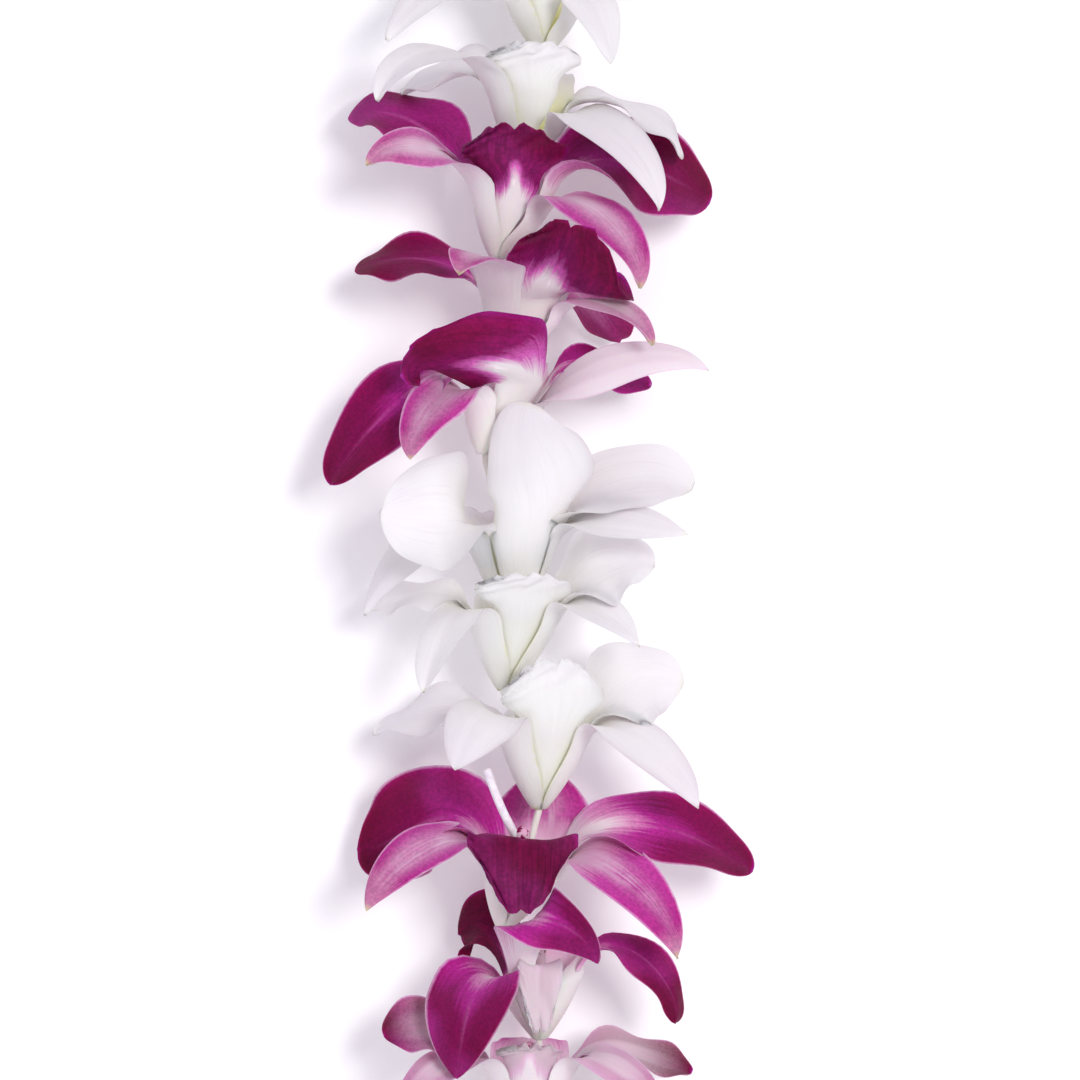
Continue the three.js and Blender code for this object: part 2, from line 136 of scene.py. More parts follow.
# The blooms of the strand that the camera sees, from its front end back.
posedBlooms = [
    pose(100, 4.4, 0.7,
         sepal(-68, 29, -12.7, -60, twist=-25, width=16),
         sepal(45, 17, -17, -85, sink=5, twist=15),
         sepal(178, 25, 2, -15),
         petal(-116, 30, 4, -25, twist=-30),
         petal(104, 30, 4, -25, twist=30),
         lip(5, 12, 9, 55)),
    pose(80.5, 3.5, -2,
         sepal(-65, 30, -4, -80, lift=13, twist=-25, width=14),
         sepal(50, 29.5, -23.5, -90, sink=6, lift=7, twist=18, width=15),
         sepal(180, 25, 2, -15),
         petal(-122, 28, 0, -25, twist=-30),
         petal(96, 27, -13, -75, sink=3, lift=6, twist=20),
         lip(0, 11, 7, 60)),
    pose(63.7, 0.5, -3.5,
         sepal(-72, 27.5, 2, -50, lift=8, twist=-48, width=13.5, pale=0.5),
         sepal(55, 28, -20, -100, sink=5, lift=9, twist=20, width=15, pale=0.3),
         sepal(178, 24, 0, -15),
         # The two petals' early, deep colour is partly their own and partly painted shade.
         petal(-105, 31, 11.5, -25, twist=-35, tint=1.8),
         petal(91.6, 35.7, -3.6, -36, lift=10, sway=12, width=23, twist=58, outline="broad", tint=1.2),
         lip(0, 12, 9, 60, width=19.5, tint=1.4)),
    pose(44.3, 2.7, -4.4,
         sepal(-30, 23.7, 1.6, -60, lift=9, twist=-15, width=14.5, pale=0.6),
         sepal(62, 26.3, -10.3, -75, sink=4, lift=7, width=11, twist=15, pale=0.8),
         sepal(180, 24, 0, -15),
         # This left petal's early, deep colour is partly its own and partly painted shade.
         petal(-98, 31, 3.5, -25, twist=-34, width=17.5, tint=1.2),
         petal(130, 22, -8.5, -30),
         lip(18.7, 21, 11, 73, lift=2, sway=3, width=24.4, twist=-47, uneven=-0.3, tint=-0.8)),
    pose(29.2, 0, -5.5,
         sepal(-53, 20.5, -15.2, -92, sink=3, lift=6.5, twist=-30, width=14.5, pale=0.3),
         sepal(75, 38.3, 0.4, -35, sink=6, lift=5, twist=60, width=12.5, pale=1),
         sepal(180, 24, 0, -15),
         petal(-88, 32, -19.5, -64, twist=-55, width=17.5, tint=0.2, ruffle=0.9),
         petal(112, 27, -1.5, -15, twist=60, width=10),
         lip(16, 16.8, -0.1, -150, lift=4, sway=-87, width=21, twist=36, uneven=-0.15,
             roundness=0.38, point=1.45, tint=-0.5, ruffle=0.1, thick=0.25)),
    pose(0.9, -0.7, 0.7,
         sepal(37, 12.2, 23.1, 60, lift=14, sway=-21, width=20, twist=-40, outline="broad"),
         petal(-51, 26.6, 4, 8, sway=-8, width=25.5, cup=0.075, twist=-88),
         petal(88, 32, 8, -30, lift=10, width=21, twist=40, outline="broad"),
         sepal(-88, 26, -14.3, -75, twist=-35, width=15),
         sepal(70, 33, 0, -15, twist=35, width=14),
         lip(180, 14, 4, 20)),
    pose(-12.7, 0, -1.8,
         sepal(-55, 19.3, -14, -80, lift=7, twist=-15),
         sepal(62, 25, -6, -50, twist=20),
         sepal(180, 24, 0, -15),
         petal(-98, 25.5, 0.5, -20, twist=-25, width=15),
         petal(88, 25, 8, -20, twist=45, width=22),
         lip(12, 13, 7, 50, width=18)),
    pose(-33.6, 5.3, -1,
         sepal(-45, 22, -6.5, -65, lift=11, width=16, twist=-30),
         sepal(65, 29.7, -13.3, -65, width=15, twist=25),
         sepal(178, 24, 0, -15),
         petal(-100, 31, -1, -30, twist=-25),
         petal(98, 25, 8, -20, twist=55, width=20),
         lip(12, 11, 13, 65, lift=10, width=19.5)),
    pose(-54.9, 2.7, -4.6,
         sepal(-68, 30.3, -10, -70, lift=10, width=14, twist=-35),
         sepal(60, 31, -18, -85, sink=2, lift=9, width=16.5, twist=30),
         sepal(165, 14, 15, 60, width=21, pale=0.1),
         # The left petal's early, deep colour is partly painted shade, and the right petal's late, light
         # colour is partly painted light.
         petal(-108, 32, -0.6, 0, lift=17, cup=0.05, twist=-80, width=21.5, outline="broad", tint=1.6),
         petal(92, 40, -4, -40, lift=12, twist=45, width=18, outline="broad", tint=-0.3),
         lip(-3, 17, -10.3, -80, lift=13, width=19.5, rimCurl=0.04, cup=0.01,
             roundness=0.42, point=2, tint=3),
         columnAt=-12, columnEnd=(7.6, 4.8)),
    pose(-74.3, 4.4, 0,
         sepal(-15.5, 24, 1.1, -73, lift=19, sway=40, width=13.5, twist=66, kind=1, tint=-0.2, pale=0),
         sepal(-66, 20.6, -19.5, -78, sink=3.7, lift=9, sway=21, width=22, twist=-20,
               kind=1, tint=0.6, pale=0),
         sepal(180, 24, 0, -15),
         petal(82, 24, -11, -105, lift=13, width=8.5, twist=50, outline="broad", tint=1.5),
         # This petal takes the lip's darkest colours as painted shade, where it lies in the shadow of its
         # neighbours.
         petal(-125, 17.5, 3.5, -35, lift=10, twist=-62, width=16, kind=2, tint=3, ruffle=0.15),
         lip(0, 11, -12, -85, width=8, pale=0.75)),
    pose(-92.4, 2.7, -1,
         sepal(-60, 27, -8, -60, twist=-20, pale=0.8),
         sepal(60, 27, -8, -60, twist=20, pale=0.8),
         sepal(180, 24, 0, -15),
         petal(-82, 26, 5, -25, twist=-35, pale=0.7),
         petal(95, 29, -2, -20, twist=18, pale=0.8),
         lip(0, 10, 4, 50, width=12, pale=0.6)),
]

# The solid's own repeatable draws, in the same order, so that both poses are the same.
drawRule = {"factor": 48271, "modulus": 2147483647}
drawState = lei["seed"]


def draw(low, high):
    global drawState
    drawState = drawState * drawRule["factor"] % drawRule["modulus"]
    return low + (high - low) * drawState / drawRule["modulus"]


# What the other blooms' blades are drawn from. Each bloom is turned on the string as a whole.
loose = {
    "turn": (-38, 38), "lipUpShare": 0.6, "sepalsAt": (-64, 64), "petalsAt": (-116, 116),
    "sepal": {"reach": (25, 28), "rise": (-9, -4), "droop": (-65, -45), "lift": (7, 9), "twist": (10, 35)},
    "backSepal": {"reach": (23, 25), "rise": (-2, 2), "droop": (-25, -10)},
    "petal": {"reach": (28, 31.5), "rise": (1, 5), "droop": (-35, -15), "cup": (0.015, 0.045),
              "twist": (15, 45)},
    "lipUp": {"reach": 12, "rise": (7, 10), "droop": (50, 65)},
    "lipDown": {"reach": 16, "rise": (-9, -5), "droop": -75},
}


def looseBlade(shape, at, ranges):
    drawn = {name: draw(*v) if isinstance(v, tuple) else v for name, v in ranges.items()}
    drawn["twist"] = drawn.get("twist", 0) * math.sin(math.radians(at))
    return blade(shape, at, **drawn)


def looseBloom(along):
    turn = draw(*loose["turn"])
    lipUp = draw(0, 1) < loose["lipUpShare"]
    blades = [looseBlade("sepal", at + turn, loose["sepal"]) for at in loose["sepalsAt"]]
    blades.append(looseBlade("sepal", 180 + turn, loose["backSepal"]))
    blades += [looseBlade("petal", at + turn, loose["petal"]) for at in loose["petalsAt"]]
    blades.append(looseBlade("lip", turn, loose["lipUp" if lipUp else "lipDown"]))
    return pose(along, 0, 0, *blades)


def allBlooms():
    blooms = [{**bloom, "along": straightRun / 2 + bloom["along"]} for bloom in posedBlooms]
    last = blooms[-1]["along"]
    pitch = (loopLength + last - blooms[0]["along"]) / (lei["bloomCount"] - len(blooms) + 1)
    for k in range(1, lei["bloomCount"] - len(posedBlooms) + 1):
        blooms.append(looseBloom(last - k * pitch))
    for number, bloom in enumerate(blooms):
        colour = "white" if number % 6 in lei["whiteInSix"] else "purple"
        bloom.update(number=number, colour=colour, name=f"{colour}_bloom_{number + 1:02d}")
    return blooms


# Carries points across, along and above the string to their places on the loop.
def onLoop(points):
    s = points[:, 1] % loopLength
    half = np.where(s >= loopLength / 2, -1.0, 1.0)
    onHalf = np.where(s >= loopLength / 2, s - loopLength / 2, s)
    turned = np.maximum(0, onHalf - straightRun) / endRadius
    radius = endRadius - points[:, 0]
    x = -radius * np.cos(turned)
    y = np.minimum(onHalf, straightRun) - straightRun / 2 + radius * np.sin(turned)
    return np.stack([half * x, half * y, points[:, 2] + lei["stringHeight"]], axis=1)


def lean(bloom, height):
    return bloom["aside"] + bloom["tail"] * np.maximum(0, -height) / flower["coneDepth"]


def bezier(points, t):
    weights = [(1 - t) ** 3, 3 * (1 - t) ** 2 * t, 3 * (1 - t) * t * t, t ** 3]
    return [sum(w * point[i] for w, point in zip(weights, points)) for i in (0, 1)]


# A blade's midline as radius and height for u from 0 to 1, and straight back into the cone below 0.
def profile(b, u):
    r, h = b["start"]
    dr, dh = flower["rimDirection"]
    angle = math.radians(b["droop"])
    pull = flower["tipPull"] * math.hypot(b["reach"] - r, b["rise"] - h)
    second = (r + dr * b["lift"], h + dh * b["lift"])
    third = (b["reach"] - pull * math.cos(angle), b["rise"] - pull * math.sin(angle))
    curve = bezier([(r, h), second, third, (b["reach"], b["rise"])], np.maximum(u, 0))
    back = np.minimum(u, 0) * flower["rootDepth"]
    return curve[0] + dr * back, curve[1] + dh * back


def place(b, u):
    r, h = profile(b, u)
    bearing = np.radians(b["at"] + b["sway"] * smooth(u))
    return np.stack([r * np.sin(bearing), h, r * np.cos(bearing)], axis=1)


def unit(vectors):
    return vectors / (np.linalg.norm(vectors, axis=1, keepdims=True) + 1e-12)


# The middle layer of a blade at places u along it, offset millimetres off its midline.
def bladeLayer(b, u, offset, raised):
    step = 0.01
    ahead = np.minimum(1, u + step)
    tangent = unit(place(b, ahead) - place(b, u - step))
    r0, h0 = profile(b, u - step)
    r1, h1 = profile(b, ahead)
    bearing = np.radians(b["at"] + b["sway"] * smooth(u))
    face = np.stack([(h0 - h1) * np.sin(bearing), r1 - r0, (h0 - h1) * np.cos(bearing)], axis=1)
    across = unit(np.cross(tangent, face))
    twist = np.radians(b["twist"] * smooth(u / flower["twistedBy"]))[:, None]
    across = across * np.cos(twist) + np.cross(tangent, across) * np.sin(twist)
    face = unit(np.cross(across, tangent))
    curl = mix(b.get("rimCurl", flower["rimCurl"]), b["cup"], smooth(u / flower["cuppedBy"])) + 1e-6
    side = np.sin(curl * offset) / curl
    forward = (1 - np.cos(curl * offset)) / curl + raised
    return place(b, u) + across * side[:, None] + face * forward[:, None]


# A sepal's part of the cone's wall, and past the rim the same wall carried straight on.
def coneLayer(b, u, offset):
    r, h = b["start"]
    dr, dh = flower["rimDirection"]
    tipR, tipH = flower["coneTip"]
    flareR, flareH = flower["tipFlare"]
    depth = flower["wallPull"] * (h - tipH)
    wall = [(tipR, tipH), (tipR + flareR, tipH + flareH), (r - dr * depth, h - dh * depth), (r, h)]
    cr, ch = bezier(wall, np.clip(u + 1, 0, 1))
    beyond = np.maximum(u, 0) * b["lift"] * flower["wallBeyond"]
    radius = cr + dr * beyond
    height = ch + dh * beyond
    radius = radius - b.get("inset", 0) * smooth((u + 1) / flower["insetFade"])
    bearing = np.radians(b["at"]) - offset / radius
    return np.stack([radius * np.sin(bearing), height, radius * np.cos(bearing)], axis=1), radius


# How far round the cone a sepal reaches: it draws back beside the lip to show the claw.
def coneSpan(b, u, v):
    opened = flower["clawOpening"] * smooth(1 + u)
    left = np.maximum(b["spanLeft"] - b["opensLeft"] * opened, flower["leastSpan"])
    right = np.maximum(b["spanRight"] - b["opensRight"] * opened, flower["leastSpan"])
    return np.where(v < 0, right, left)


# A blade's relief: waves along its edge, a groove along its middle and slow swells.
relief = {"edgeStart": 0.35, "edgePower": 2.2, "calmTip": 0.2, "waveShift": 2.1, "groove": 0.28,
          "grooveWidth": 0.07, "grooveStart": 0.2, "grooveEnd": 0.75, "swell": 0.45, "swellsAlong": 4.1,
          "swellsAcross": 2.6, "swellPhase": 1.7, "swellStart": 0.3}


def raisedBy(b, w, v):
    shift = relief["waveShift"]
    if b["outline"] == "lip":
        edge = 1 - (1 - np.abs(v) ** 3) * (1 - w ** 4)
        wave = np.sin(2 * math.pi * (b["waves"] * w + shift * v * w) + b["phase"])
    else:
        edge = np.abs(v) ** relief["edgePower"] * smooth((1 - w) / relief["calmTip"])
        wave = np.sin(2 * math.pi * b["waves"] * w + b["phase"] + np.where(v < 0, shift, 0))
    edge = edge * smooth(w / relief["edgeStart"])
    groove = -relief["groove"] * np.exp(-((v / relief["grooveWidth"]) ** 2))
    groove = groove * smooth(w / relief["grooveStart"])
    groove = groove * (1 - smooth((w - relief["grooveEnd"]) / (1 - relief["grooveEnd"])))
    swell = relief["swell"] * np.sin(relief["swellsAlong"] * w + b["phase"])
    swell = swell * np.sin(relief["swellsAcross"] * v + relief["swellPhase"] * b["phase"])
    swell = swell * smooth(w / relief["swellStart"])
    return b["ruffle"] * wave * edge + groove + swell


# The thin middle layer of one blade at places u along it and v across it, in strand axes.
def sheet(bloom, b, u, v):
    inFront = np.maximum(u, 0)
    if b["outline"] == "lip":
        inFront = inFront * mix(1, fanReach(b, v), smooth(inFront / fanEdge["formedBy"]))
    w = np.clip(u, 0, 1)
    raised = raisedBy(b, w, v)
    halfWidth = b["width"] / 2 * outlineWidth(b["outline"], w) * (1 + b.get("uneven", 0) * v)
    if b["shape"] == "petal":
        halfWidth = halfWidth * np.where(u < 0, 1 + flower["petalNarrows"] * u, 1)
        points = bladeLayer(b, u, v * halfWidth, raised)
    else:
        wall, radius = coneLayer(b, u, 0 * u)
        arc = np.radians(coneSpan(b, u, v)) * radius
        offset = v * np.where(u < 0, arc, mix(arc, halfWidth, smooth(u / flower["wallLeftBy"])))
        wall, radius = coneLayer(b, u, offset)
        share = smooth((u - flower["freeFrom"]) / flower["freeOver"])[:, None]
        widest = flower["freeSpan"] * halfWidth + 1
        free = np.clip(offset, -widest, widest)
        points = mix(wall, bladeLayer(b, inFront, free, raised), share)
    rootHeight = np.where(u < 0, points[:, 1], b["start"][1])
    points[:, 0] += lean(bloom, rootHeight)
    return points


# Petals that would reach below the table bend softly back along it.
def overTable(points, clearance):
    floor = clearance - lei["stringHeight"]
    softness = flower["floorSoftness"]
    height = (points[:, 2] - floor) / softness
    eased = floor + softness * np.logaddexp(0, height)
    points[:, 1] -= flower["floorDrag"] * (eased - points[:, 2]) * (height < 0)
    points[:, 2] = eased
    return points


def deselect():
    bpy.ops.object.select_all(action="DESELECT")


def pointsOf(mesh):
    flat = np.empty(len(mesh.vertices) * 3)
    mesh.vertices.foreach_get("co", flat)
    return flat.reshape(-1, 3)


# Puts a piece's points, given in strand axes, in their places on the loop.
def putOnLoop(mesh, points):
    world = (onLoop(points) + loopShift) * millimetre
    mesh.vertices.foreach_set("co", world.ravel())


# Merges the doubled points where a folded or rolled grid meets itself, and turns its faces outwards.
def closeGrid(nearness):
    bpy.ops.object.mode_set(mode="EDIT")
    bpy.ops.mesh.select_all(action="SELECT")
    bpy.ops.mesh.remove_doubles(threshold=nearness)
    bpy.ops.mesh.normals_make_consistent(inside=False)
    bpy.ops.object.mode_set(mode="OBJECT")


# A blade's share of rows inside the cone, how its columns and rows crowd towards its edges and tip, and how
# its thickness fades.
bladeGrid = {"coneRows": 0.34, "petalConeRows": 0.18, "crowdedEdges": 0.45, "crowdedTip": 0.85,
             "crowdedLipTip": 0.35, "step": 0.004, "rimPower": 5, "rimShare": 0.55, "rimFade": 0.6,
             "rootFade": 0.06, "tipFade": 0.05, "flushFrom": -0.1, "flushOver": 0.3, "nearness": 0.000008}


# A grid bent into a closed thin blade: half of its columns make the front face and half the back.
def makeBlade(bloom, b, columns, rows):
    deselect()
    bpy.ops.mesh.primitive_grid_add(x_subdivisions=2 * columns, y_subdivisions=rows, size=1)
    piece = bpy.context.object
    mesh = piece.data
    grid = pointsOf(mesh) + 0.5
    gx, gy = grid[:, 0], grid[:, 1]
    front = gx <= 0.5 + 1e-6
    v = np.clip(np.where(front, 4 * gx - 1, 3 - 4 * gx), -1, 1)
    crowded = bladeGrid["crowdedEdges"]
    v = np.sin(v * math.pi / 2) * crowded + v * (1 - crowded)
    coneShare = bladeGrid["petalConeRows" if b["shape"] == "petal" else "coneRows"]
    u = np.where(gy < coneShare, gy / coneShare - 1, (gy - coneShare) / (1 - coneShare))
    crowded = bladeGrid["crowdedLipTip" if b["outline"] == "lip" else "crowdedTip"]
    u = np.where(u > 0, mix(u, np.sin(u * math.pi / 2), crowded), u)

    def layer(at, over):
        return overTable(sheet(bloom, b, at, over), b["thick"] / 2)

    step = bladeGrid["step"]
    inU, inV = np.clip(u, -1 + step, 1 - 3 * step), np.clip(v, -1 + step, 1 - step)
    alongIt = layer(inU + step, inV) - layer(inU - step, inV)
    acrossIt = layer(inU, inV + step) - layer(inU, inV - step)
    normal = unit(np.cross(acrossIt, alongIt))
    rim = 1 - np.abs(v) ** bladeGrid["rimPower"]
    ends = smooth((1 + u) / bladeGrid["rootFade"]) * smooth((1 - u) / bladeGrid["tipFade"])
    body = mix(bladeGrid["rimShare"], 1, (1 - np.abs(v)) ** bladeGrid["rimFade"])
    half = 0.5 * b["thick"] * rim * body * ends
    # In the cone the thickness goes inwards only, so that neighbouring sepals meet flush outside.
    inCone = 1 - smooth((u - bladeGrid["flushFrom"]) / bladeGrid["flushOver"])
    flush = half * inCone * (b["shape"] != "petal")
    points = layer(u, v) + normal * (np.where(front, half, -half) + flush)[:, None]
    points[:, 2] = np.maximum(points[:, 2], -lei["stringHeight"])
    points[:, 1] += bloom["along"]
    putOnLoop(mesh, points)
    spots = np.stack([u, v, np.where(front, 0.0, 1.0)], axis=1)
    setAttributes(mesh, spots, b["kind"], b["tint"], b["pale"])
    closeGrid(bladeGrid["nearness"])
    return piece


# For the materials: place is how far along, how far across and which face, and kind is which part, how
# early its colour starts and how pale it is. Where a posed blade sets how early its colour starts, that is
# partly its own tone and partly painted shade, and on one right petal painted light.
def setAttributes(mesh, spots, kind, tint=0.5, pale=0):
    values = {"place": spots, "kind": np.tile([kind, tint, pale], (len(mesh.vertices), 1))}
    for name, rows in values.items():
        attribute = mesh.attributes.new(name, "FLOAT_VECTOR", "POINT")
        attribute.data.foreach_set("vector", np.asarray(rows, dtype=np.float32).ravel())


column = {"kind": 3, "root": (2.9, -7), "end": (2.0, 3.6), "radius": 1.15, "fullness": 8, "bow": 0.8,
          "rootFade": 0.06, "cap": 1.5, "capAt": 0.86, "capLength": 0.135, "sides": 14, "rings": 12}


# The short column in the throat with its rounded cap, across from the lip.
def makeColumn(bloom):
    deselect()
    bpy.ops.mesh.primitive_uv_sphere_add(segments=column["sides"], ring_count=column["rings"], radius=1)
    piece = bpy.context.object
    mesh = piece.data
    ball = pointsOf(mesh)
    t = 0.5 + 0.5 * ball[:, 2]
    t = np.arccos(np.clip(1 - 2 * t, -1, 1)) / math.pi
    ring = np.hypot(ball[:, 0], ball[:, 1]) + 1e-9
    width = column["radius"] * (1 - t ** column["fullness"]) * smooth(t / column["rootFade"])
    fromCap = (t - column["capAt"]) / column["capLength"]
    width = np.maximum(width, column["cap"] * np.sqrt(np.maximum(0, 1 - fromCap ** 2)))
    bearing = np.radians(bloom["columnAt"])
    end = bloom.get("columnEnd", column["end"])
    r, h = (mix(column["root"][i], end[i], t) for i in (0, 1))
    r = r + column["bow"] * np.sin(t * math.pi)
    sideways = width * ball[:, 0] / ring
    outward = r + width * ball[:, 1] / ring
    x = outward * np.sin(bearing) + sideways * np.cos(bearing) + lean(bloom, h)
    z = outward * np.cos(bearing) - sideways * np.sin(bearing)
    points = np.stack([x, h + bloom["along"], z], axis=1)
    putOnLoop(mesh, points)
    setAttributes(mesh, np.stack([t, 0 * t, 0 * t], axis=1), column["kind"])
    return piece


# Tubes are turned from this direction, which no tube runs along.
tube = {"sideways": (0.17, 0.09, 0.98), "plies": 3, "nearness": 0.000001}


# A closed tube along points in strand axes, made from a rolled-up grid. bend is how softly it follows them,
# and ply and pitch give it the ridges of a twisted thread.
def makeTube(route, width, rings, sides, bend, ply=0, pitch=1):
    stops = np.array(route, float)
    length = np.linalg.norm(np.diff(stops, axis=0), axis=1).sum()
    reach = np.linspace(0, 1, len(stops))

    def middle(t):
        shifts = (-bend, -bend / 2, 0, bend / 2, bend)
        lines = [np.stack([np.interp(t + shift, reach, stops[:, i]) for i in (0, 1, 2)], axis=1)
                 for shift in shifts]
        return sum(lines) / len(shifts)

    deselect()
    bpy.ops.mesh.primitive_grid_add(x_subdivisions=sides, y_subdivisions=rings, size=1)
    piece = bpy.context.object
    grid = pointsOf(piece.data) + 0.5
    turn, t = grid[:, 0] * 2 * math.pi, grid[:, 1]
    step = 1 / rings
    tangent = unit(middle(t + step) - middle(t - step))
    across = unit(np.cross(tangent, np.array([tube["sideways"]])))
    upright = np.cross(across, tangent)
    ends = np.sqrt(np.clip(np.minimum(t, 1 - t) * length / (0.5 * width), 0, 1))
    twist = tube["plies"] * turn - 2 * math.pi * length * t / pitch
    radius = width / 2 * ends * (1 + ply * np.cos(twist))
    side = across * np.cos(turn)[:, None] + upright * np.sin(turn)[:, None]
    putOnLoop(piece.data, middle(t) + side * radius[:, None])
    closeGrid(tube["nearness"])
    return piece


# The bare stalk in the throat of one posed bloom, from inside it outwards.
stalk = {"bloom": 8, "width": 1.5, "bend": 0.08, "rings": 26, "sides": 14, "kind": 4,
         "route": [(2.2, -58, 1.5), (1.2, -55, 5), (-0.2, -51.2, 8.2), (-1.9, -48, 9.2), (-3.4, -44.4, 9.6),
                   (-4.3, -42, 9.4), (-5.1, -39.6, 9.0)]}


def makeStalk():
    route = [(across, along + straightRun / 2, above) for across, along, above in stalk["route"]]
    piece = makeTube(route, stalk["width"], stalk["rings"], stalk["sides"], stalk["bend"])
    setAttributes(piece.data, np.zeros((len(piece.data.vertices), 3)), stalk["kind"])
    return piece


rimAngle = 75


# Joins a node's pieces. A petal's rim stays crisp, because smooth shading would darken its margin.
def joinPieces(pieces, name, material):
    deselect()
    for piece in pieces:
        piece.select_set(True)
    bpy.context.view_layer.objects.active = pieces[0]
    bpy.ops.object.join()
    whole = bpy.context.view_layer.objects.active
    whole.name = name
    whole.data.name = name
    bpy.ops.object.shade_smooth_by_angle(angle=math.radians(rimAngle))
    whole.data.materials.clear()
    whole.data.materials.append(material)
    return whole


# Columns and rows of a blade's grid.
detail = {"posed": {"sepal": (12, 46), "petal": (14, 36), "lip": (22, 44)},
          "loose": {"sepal": (10, 34), "petal": (12, 28), "lip": (18, 30)}}

# Degrees by which blades overlap round the cone, and the lip's own narrow share of it.
wallShare = {"overSepal": 2, "overLip": 1,
             "lip": {"spanLeft": 6, "spanRight": 6, "opensLeft": -1.25, "opensRight": -1.25, "inset": 0.55}}

chance = {"seed": 7, "palest": 0.45, "ruffles": (0.7, 1.3), "petalInset": 0.2}


# Each sepal takes the share of the cone's wall that reaches halfway to its neighbour, or to the lip.
def shareCone(blades):
    sepals = sorted((b for b in blades if b["shape"] == "sepal"), key=lambda b: b["at"] % 360)
    lipBlade = blades[-1]
    for index, b in enumerate(sepals):
        after = sepals[(index + 1) % len(sepals)]
        gap = (after["at"] - b["at"]) % 360
        toLip = (lipBlade["at"] - b["at"]) % 360
        holdsLip = 0 < toLip < gap
        over, halfway = wallShare["overLip"], gap / 2 + wallShare["overSepal"]
        b["spanRight"] = toLip + over if holdsLip else halfway
        after["spanLeft"] = gap - toLip + over if holdsLip else halfway
        b["opensRight"] = after["opensLeft"] = int(holdsLip)
    lipBlade.update(wallShare["lip"])


def makeBloom(bloom, looks):
    counts = detail["posed" if bloom["number"] < len(posedBlooms) else "loose"]
    shareCone(bloom["blades"])
    for b in bloom["blades"]:
        b["phase"] = looks.uniform(0, 2 * math.pi)
        tint = looks.uniform(0, 1)
        pale = looks.uniform(0, chance["palest"]) if b["shape"] == "sepal" else 0
        b["tint"] = b.get("tint", tint)
        b["pale"] = b.get("pale", pale)
        b["ruffle"] = b["ruffle"] * looks.uniform(*chance["ruffles"])
        if b["shape"] == "petal":
            b["start"] = (b["start"][0] - chance["petalInset"], b["start"][1])
    bloom.setdefault("columnAt", bloom["blades"][-1]["at"] + 180)
    pieces = [makeBlade(bloom, b, *counts[b["shape"]]) for b in bloom["blades"]]
    pieces.append(makeColumn(bloom))
    if bloom["number"] == stalk["bloom"]:
        pieces.append(makeStalk())
    whole = joinPieces(pieces, bloom["name"] + "_petals", materials[bloom["colour"]])
    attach(whole, "root")
    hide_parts(bloom["name"])


def newMaterial(name):
    material = bpy.data.materials.new(name)
    material.use_nodes = True
    material.node_tree.nodes.clear()
    return material, material.node_tree


# Adds a node, and links each of its sockets to another node's or sets it to a constant.
def addNode(tree, kind, sockets, **settings):
    made = tree.nodes.new("ShaderNode" + kind)
    for name, value in settings.items():
        setattr(made, name, value)
    for name, value in sockets.items():
        if isinstance(value, bpy.types.NodeSocket):
            tree.links.new(value, made.inputs[name])
        else:
            made.inputs[name].default_value = value
    return made


def calc(tree, operation, *values):
    return addNode(tree, "Math", dict(enumerate(values)), operation=operation).outputs[0]


def blend(tree, share, low, high, mode="MIX"):
    sockets = {0: share, 6: low, 7: high}
    return addNode(tree, "Mix", sockets, data_type="RGBA", blend_type=mode).outputs[2]


def fromTo(tree, value, low, high, start=0.0, end=1.0):
    sockets = dict(enumerate((value, low, high, start, end)))
    return addNode(tree, "MapRange", sockets, interpolation_type="SMOOTHSTEP").outputs[0]


def ramp(tree, value, stops):
    made = addNode(tree, "ValToRGB", {0: value})
    elements = made.color_ramp.elements
    while len(elements) < len(stops):
        elements.new(0.5)
    for element, (position, *colour) in zip(elements, stops):
        element.position = position
        element.color = (*colour, 1)
    return made.outputs[0]


def noise(tree, vector, grain):
    sockets = dict(zip(("Scale", "Detail", "Roughness"), grain))
    return addNode(tree, "TexNoise", {"Vector": vector, **sockets}).outputs[0]


def product(tree, value, *others):
    for other in others:
        value = calc(tree, "MULTIPLY", value, other)
    return value


# Spreads a measure from 0 to 1 evenly round nought.
def centred(tree, value, spread):
    return calc(tree, "MULTIPLY_ADD", value, spread, -spread / 2)


# Lays a tone over a colour. It fades in between two values of each measure that it names.
def layTone(tree, parts, under, tone, *shares):
    colour, strength, *places = tone
    shares += tuple(fromTo(tree, parts[name], low, high) for name, low, high in places)
    return blend(tree, product(tree, strength, *shares), under, (*colour, 1))


# A petal's front and back each have their own row of tones.
def twoFaces(tree, parts, place, front, back):
    return blend(tree, parts["back"], ramp(tree, place, front), ramp(tree, place, back))


# Finishes a material with one shader, whose normal follows a bump of some height.
def addShader(tree, sockets, height, strength, distance):
    bump = addNode(tree, "Bump", {"Strength": strength, "Distance": distance, "Height": height})
    shader = addNode(tree, "BsdfPrincipled", {**sockets, "Normal": bump.outputs[0]})
    addNode(tree, "OutputMaterial", {0: shader.outputs[0]})


def readAttribute(tree, name):
    source = addNode(tree, "Attribute", {}, attribute_name=name)
    return addNode(tree, "SeparateXYZ", {0: source.outputs["Vector"]}).outputs


# Each pattern on the petals is a scale, a detail and a roughness.
pattern = {"veinsAcross": 15.0, "veinsAlong": 1.6, "tintApart": 37.0, "kindApart": 5.0, "kindNear": 0.1,
           "veins": (1.0, 3.0, 0.6), "blotch": (90.0, 3.0, 0.55), "cloud": (48.0, 2.0, 0.5),
           "fine": (2600.0, 2.0, 0.5), "roughnessSpread": 0.18, "fineHeight": 0.35, "bumpDistance": 0.0002}


